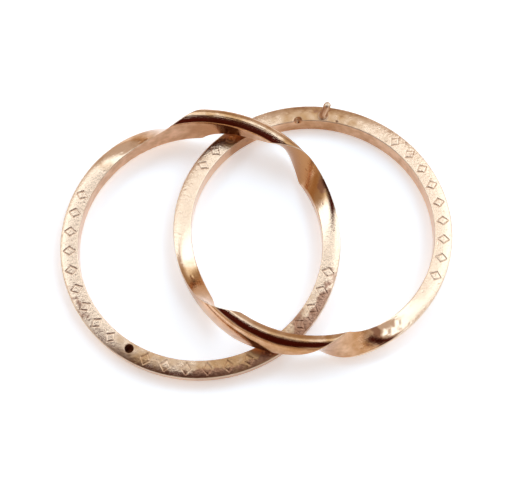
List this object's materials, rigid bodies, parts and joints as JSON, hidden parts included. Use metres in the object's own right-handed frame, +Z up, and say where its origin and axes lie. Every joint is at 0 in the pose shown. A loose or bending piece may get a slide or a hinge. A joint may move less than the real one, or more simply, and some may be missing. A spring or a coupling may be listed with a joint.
{
  "type": "gimmel ring",
  "caption": "Finger ring of linked hoops that twist through each other and close to a single band, joined by a peg and hole, lying open.",
  "frame": {"origin": "midway between the middles of the two hoops, on the surface they lie on", "axes": "+Z up; +X from the middle of the hoop with the hole to the middle of the hoop with the peg"},
  "size_m": [0.0294, 0.0208, 0.0038],
  "materials": {
    "rose_gold": "polished outside, matte and worn on the mating faces"
  },
  "bodies": {
    "root": {"hole_hoop": "rose_gold", "peg_hoop": "rose_gold"}
  },
  "joints": []
}
